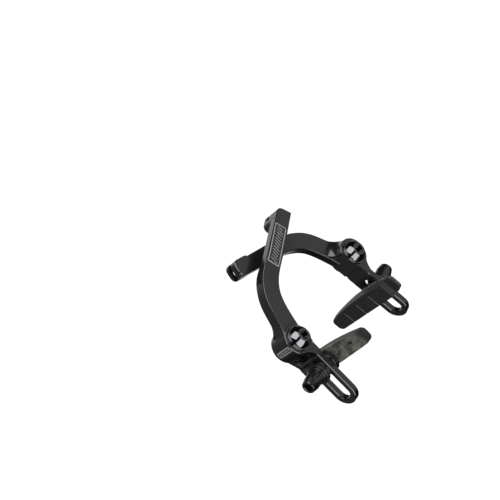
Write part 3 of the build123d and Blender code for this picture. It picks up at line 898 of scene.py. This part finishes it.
@dataclass
class ForgedBlend:
    """Hollow sweep of metal that carries a bar's face up onto the barrel, as forging leaves it.

    The way is -1 where the barrel stands out of the bar towards the front, and 1 towards the rear.
    The bar's depths are those of its face at the root and at the tip, and the reach is where it
    comes to the second one.
    """

    workshop: Workshop
    side: Side
    way: int
    bar_depths: Pair
    bar_reach: float
    height: float
    length: float = 7.5
    barrel_radius: float = 9.7
    root_reach: float = 12.3
    sunk: float = 2.5
    root_sunk: float = 2.4
    edge_round: float = 0.6
    edge_inset: float = 0.08
    face_sink: float = 0.04
    middle_turn: float = math.radians(68)
    probe_clearance: float = 0.6
    probe_halvings: int = 18
    arc_steps: int = 18
    width_steps: int = 30

    def bar_face(self, inward: float) -> float:
        """Place of the bar's face, which eases from its root depth to its tip depth.

        Args:
            inward: distance towards the wheel from the pivot's axis, in millimetres.

        Returns:
            The face's place along Y, in millimetres.
        """
        part = min(max((inward - self.root_reach) / (self.bar_reach - self.root_reach), 0.0), 1.0)
        root, tip = self.bar_depths
        return root + (tip - root) * part * part * (3 - 2 * part)

    def limits(self, surface: BVHTree, radius: float) -> Pair:
        """Turns at which a circle round the pivot leaves the bar on its two sides.

        Args:
            surface: the arm's surface.
            radius: the circle's radius, in millimetres.

        Returns:
            The turn on the inner side and on the outer side, in radians from straight inwards.
        """
        found = []
        for outside in (0.0, math.pi):
            inside = self.middle_turn
            for _ in range(self.probe_halvings):
                turn = (inside + outside) / 2
                start = self.side.point(radius * math.cos(turn), FRONT_OF_ALL, radius * math.sin(turn))
                if surface.ray_cast(start, Vector((0, 1, 0)))[0] is None:
                    outside = turn
                else:
                    inside = turn
            found.append(inside)
        inset = self.edge_inset / radius
        return found[0] + inset, found[1] - inset

    def section(self, turn: float, from_edge: float, part: float) -> Pair:
        """One point of the sweep's outline.

        Args:
            turn: turn round the pivot, in radians from straight inwards.
            from_edge: distance from the nearer side of the bar, in millimetres.
            part: way along the arc, from 0 at the barrel to 1 at the bar's face.

        Returns:
            The radius and the place along Y, in millimetres.
        """
        angle = part * math.pi / 2
        radius = self.barrel_radius + self.length * (1 - math.cos(angle))
        face = self.bar_face(radius * math.cos(turn)) - self.way * self.face_sink
        depth = face + self.way * self.height * (1 - math.sin(angle))
        short = max(self.edge_round - from_edge, 0.0)
        sink = self.edge_round - math.sqrt(self.edge_round ** 2 - short ** 2)
        return radius - sink * math.cos(angle), depth - self.way * sink * math.sin(angle)

    def build(self) -> None:
        """Lays the sweep on the arm as one closed piece."""
        surface = arm_surface(self.side)
        parts = [i / self.arc_steps for i in range(self.arc_steps + 1)]
        radii = [self.barrel_radius + self.length * (1 - math.cos(part * math.pi / 2)) for part in parts]
        nearest = self.barrel_radius + self.probe_clearance
        edges = [self.limits(surface, max(radius, nearest)) for radius in radii]
        shape = bmesh.new()
        columns = []
        for step in range(self.width_steps + 1):
            across = 0.5 - 0.5 * math.cos(math.pi * step / self.width_steps)
            column = []
            for part, radius, (low, high) in zip(parts, radii, edges):
                turn = low + (high - low) * across
                from_edge = min(turn - low, high - turn) * radius
                column.append((turn, *self.section(turn, from_edge, part)))
            root = column[0]
            floor = self.bar_face(radii[0] * math.cos(root[0])) - self.way * self.sunk
            last = (column[-1][0], column[-1][1], floor)
            inside = root[1] - self.root_sunk
            column = [(root[0], inside, root[2]), *column, last, (root[0], inside, floor)]
            columns.append([shape.verts.new(self.side.point(r * math.cos(turn), depth, r * math.sin(turn)))
                            for turn, r, depth in column])
        close_rows(shape, columns)
        self.workshop.place(f"forged_blend_{self.side.word}", shape, SATIN_PAINT, "arm_paint",
                            f"{self.side.word}_arm")


@dataclass
class PrintedPanels:
    """Thin printed outlines with plain slanted bars, on the front arm's face and barrel."""

    workshop: Workshop
    ink_mm: float = 0.04
    ink_root_mm: float = -0.03
    line_mm: float = 0.58
    bar_mm: float = 0.42
    step_mm: float = 0.8
    short_bars_every: int = 3
    short_bar: Pair = (0.8, 0.1)
    panel_corners: tuple[Pair, ...] = ((48.8, 53.8), (51.2, 47.0), (26.1, 36.0), (24.2, 43.1))
    panel_bars: int = 12
    panel_reach: Pair = (0.2, 0.8)
    bar_lean: float = 0.07
    barrel_radius: float = 9.7
    box_depths: Pair = (-14.8, -3.4)
    box_angles: Pair = (171.0, 188.5)
    box_bars: int = 8
    box_reach: Pair = (0.25, 0.75)

    def stroke(self, shape: Shape, lay: Lay, start: Vector, end: Vector, width: float) -> None:
        """Lays one raised stroke of ink between two places of a flat plan.

        Args:
            shape: the shape that gets the stroke.
            lay: turns a place of the plan into a place on the arm and the way out of its surface.
            start: the stroke's first end on the plan, in millimetres.
            end: its other end.
            width: the stroke's width in millimetres.
        """
        run = (end - start).normalized()
        aside = Vector((-run.y, run.x)) * width / 2
        count = max(1, math.ceil((end - start).length / self.step_mm))
        rows = []
        for i in range(count + 1):
            middle = start + (end - start) * i / count
            row = []
            for edge, height in ((1, self.ink_root_mm), (1, self.ink_mm), (-1, self.ink_mm),
                                 (-1, self.ink_root_mm)):
                spot = middle + aside * edge
                place, out = lay(spot.x, spot.y)
                row.append(shape.verts.new(place + out * height * MM))
            rows.append(row)
        close_rows(shape, rows)

    def outline_and_bars(self, shape: Shape, lay: Lay, corners: list[Vector], bars: int,
                         reach: Pair) -> None:
        """Lays an outline of four strokes with slanted bars inside.

        Args:
            shape: the shape that gets the strokes.
            lay: turns a place of the plan into a place on the arm and the way out of its surface.
            corners: the outline's corners in order, the long sides first to last and second to third.
            bars: how many slanted bars lie inside.
            reach: how far across the panel the bars start and end, from 0 to 1.
        """
        for start, end in zip(corners, corners[1:] + corners[:1]):
            overlap = (end - start).normalized() * self.line_mm / 2
            self.stroke(shape, lay, start - overlap, end + overlap, self.line_mm)
        top_left, low_left, low_right, top_right = corners
        scale, shift = self.short_bar
        for i in range(bars):
            part = (i + 1) / (bars + 1)
            ends = []
            for across, ahead in ((reach[0], -self.bar_lean / 2), (reach[1], self.bar_lean / 2)):
                along = part + ahead
                high = top_left.lerp(top_right, along)
                low = low_left.lerp(low_right, along)
                ends.append(high.lerp(low, across if i % self.short_bars_every else across * scale + shift))
            self.stroke(shape, lay, ends[0], ends[1], self.bar_mm)

    def make_face_panel(self) -> None:
        """Prints the long panel on the front arm's face."""
        surface = arm_surface(Side.LEFT)

        def lay(inward: float, height: float) -> tuple[Vector, Vector]:
            """Drops a place of the plan onto the arm's front face."""
            place = surface.ray_cast(Side.LEFT.point(inward, FRONT_OF_ALL, height), Vector((0, 1, 0)))[0]
            return place, Vector((0, -1, 0))

        shape = bmesh.new()
        corners = [Vector(corner) for corner in self.panel_corners]
        self.outline_and_bars(shape, lay, corners, self.panel_bars, self.panel_reach)
        self.workshop.place("face_panel", shape, PRINTED_INK, "arm_paint", "left_arm")

    def make_barrel_panel(self) -> None:
        """Prints the small panel round the front arm's barrel."""
        def lay(depth: float, angle_mm: float) -> tuple[Vector, Vector]:
            """Wraps a place of the plan round the barrel.

            Args:
                depth: place along the barrel's axis, in millimetres.
                angle_mm: distance round the barrel from straight inwards, in millimetres.

            Returns:
                The place on the barrel, and the way out of its surface.
            """
            turn = angle_mm / self.barrel_radius
            out = Side.LEFT.inward * math.cos(turn) + Side.LEFT.upward * math.sin(turn)
            return Side.LEFT.point(0, depth, 0) + out * self.barrel_radius * MM, out

        low, high = [math.radians(angle) * self.barrel_radius for angle in self.box_angles]
        front, rear = self.box_depths
        corners = [Vector(spot) for spot in ((front, low), (front, high), (rear, high), (rear, low))]
        shape = bmesh.new()
        self.outline_and_bars(shape, lay, corners, self.box_bars, self.box_reach)
        self.workshop.place("barrel_panel", shape, PRINTED_INK, "arm_paint", "left_arm")

    def build(self) -> None:
        """Prints both panels."""
        self.make_face_panel()
        self.make_barrel_panel()


@dataclass(frozen=True)
class SoftPanel:
    """Soft light that only reflections show: its direction, its level, and where it ends.

    It is at its full level as far as the first angle from its middle, and gone at the second.
    """

    direction: Way
    level: float
    full: float
    gone: float


@dataclass
class Studio:
    """Pale floor, two softboxes, a dim surround and the camera at the photograph's angle."""

    eye: Vector = field(default_factory=lambda: Vector((-575.77, -650.63, 170.12)) * MM)
    right: Vector = field(default_factory=lambda: Vector((0.43925, -0.52237, -0.73089)))
    up: Vector = field(default_factory=lambda: Vector((0.61432, -0.41898, 0.66864)))
    focal_px: float = 1475.0
    frame_px: float = 500.0
    sensor_mm: float = 36.0
    clip: Pair = (0.01, 20.0)
    softbox_ways: tuple[Way, ...] = ((-0.325, -0.608, 0.723), (-0.627, -0.581, -0.516))
    softbox_distance: float = 1.0
    softbox_size: float = 1.0
    softbox_power: float = 6.3
    surround: float = 0.3
    glossy_dark: float = 0.012
    glossy_panels: tuple[SoftPanel, ...] = (
        SoftPanel((0.45, 0.88, 0.1), level=0.6, full=26.0, gone=48.0),
        SoftPanel((-0.55, 0.8, 0.25), level=0.08, full=30.0, gone=55.0),
        SoftPanel((0.66, -0.74, -0.14), level=0.29, full=20.0, gone=42.0),
    )
    floor_drop: float = 0.15
    floor_reach: float = 6.0
    floor_glow: float = 0.97
    paper_colour: str = "#898989"

    def make_camera(self) -> None:
        """Places the camera and makes it the scene's own."""
        data = bpy.data.cameras.new("camera")
        data.sensor_width = self.sensor_mm
        data.lens = self.focal_px / self.frame_px * self.sensor_mm
        data.clip_start, data.clip_end = self.clip
        camera = add_object("camera", data)
        turn = Matrix((self.right, self.up, self.right.cross(self.up))).transposed().to_4x4()
        camera.matrix_world = Matrix.Translation(self.eye) @ turn
        bpy.context.scene.camera = camera

    def make_softbox(self, way: Way, name: str) -> None:
        """Adds one square softbox that faces the brake.

        Args:
            way: direction from the brake to the softbox.
            name: the lamp's name.
        """
        data = bpy.data.lights.new(name, "AREA")
        data.shape = "SQUARE"
        data.size = self.softbox_size
        data.energy = self.softbox_power
        lamp = add_object(name, data)
        direction = Vector(way).normalized()
        lamp.location = direction * self.softbox_distance
        lamp.rotation_mode = "QUATERNION"
        lamp.rotation_quaternion = direction.to_track_quat("Z", "Y")

    def make_surround(self) -> None:
        """Gives the world a dim grey light, a white look, and soft panels that reflections show."""
        world = bpy.data.worlds.new("surround")
        bpy.context.scene.world = world
        world.use_nodes = True
        tree = world.node_tree
        paths = add_node(tree, "LightPath")
        way = add_node(tree, "TexCoord").outputs["Generated"]
        light = add_node(tree, "Value").outputs["Value"]
        light.default_value = self.glossy_dark
        for panel in self.glossy_panels:
            middle = tuple(Vector(panel.direction).normalized())
            facing = add_node(tree, "VectorMath", {"operation": "DOT_PRODUCT", 0: way, 1: middle})
            edge = (math.cos(math.radians(panel.gone)), math.cos(math.radians(panel.full)))
            glow = add_ramp(tree, facing.outputs["Value"], edge, (0.0, panel.level), soft=True)
            light = add_node(tree, "Math", {"operation": "ADD", 0: light, 1: glow}).outputs["Value"]
        glossy = add_node(tree, "Mix", {"data_type": "FLOAT", "Factor": paths.outputs["Is Glossy Ray"],
                                        VALUE_A: self.surround, VALUE_B: light}).outputs[VALUE_OUT]
        strength = add_node(tree, "Mix", {"data_type": "FLOAT", "Factor": paths.outputs["Is Camera Ray"],
                                          VALUE_A: glossy, VALUE_B: 1.0}).outputs[VALUE_OUT]
        shader = tree.nodes["Background"]
        shader.inputs["Color"].default_value = WHITE
        tree.links.new(strength, shader.inputs["Strength"])

    def make_floor(self) -> None:
        """Lays a white floor under the brake: it keeps a soft shadow, and reflections pass it by."""
        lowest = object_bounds()[0].z - self.floor_drop
        reach = self.floor_reach
        mesh = bpy.data.meshes.new("floor")
        corners = [(x * reach, y * reach, lowest) for x, y in ((-1, -1), (1, -1), (1, 1), (-1, 1))]
        mesh.from_pydata(corners, [], [range(len(corners))])
        floor = add_object("floor", mesh)
        material = bpy.data.materials.new("white_paper")
        material.use_nodes = True
        tree = material.node_tree
        paths = add_node(tree, "LightPath")
        paper = add_node(tree, "BsdfDiffuse", {"Color": linear(self.paper_colour)}).outputs[0]
        glow = add_node(tree, "Emission", {"Color": WHITE, "Strength": self.floor_glow}).outputs[0]
        white = add_node(tree, "AddShader", {0: paper, 1: glow}).outputs[0]
        seen = add_node(tree, "MixShader", {0: paths.outputs["Is Camera Ray"], 1: paper, 2: white}).outputs[0]
        clear = add_node(tree, "BsdfTransparent").outputs[0]
        shown = add_node(tree, "MixShader", {0: paths.outputs["Is Glossy Ray"], 1: seen, 2: clear})
        tree.links.new(shown.outputs[0], tree.nodes["Material Output"].inputs["Surface"])
        mesh.materials.append(material)
        floor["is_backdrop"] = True

    def build(self) -> None:
        """Sets up the whole studio."""
        bpy.context.scene.view_settings.view_transform = "Standard"
        self.make_camera()
        for number, way in enumerate(self.softbox_ways):
            self.make_softbox(way, f"softbox_{number}")
        self.make_surround()
        self.make_floor()


def main() -> None:
    """Builds the sub-assemblies in order."""
    logging.basicConfig(level=logging.INFO)
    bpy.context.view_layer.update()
    workshop = Workshop()
    workshop.dress_nodes()
    for side in Side:
        PivotHardware(workshop, side).build()
        PadHardware(workshop, side).build()
    ForgedBlend(workshop, Side.RIGHT, way=-1, bar_depths=(-6.9, -5.1), bar_reach=30.0, height=8.2).build()
    ForgedBlend(workshop, Side.LEFT, way=1, bar_depths=(-7.5, -11.7), bar_reach=28.0, height=5.8).build()
    PrintedPanels(workshop).build()
    Studio().build()


if __name__ == "__main__":
    main()
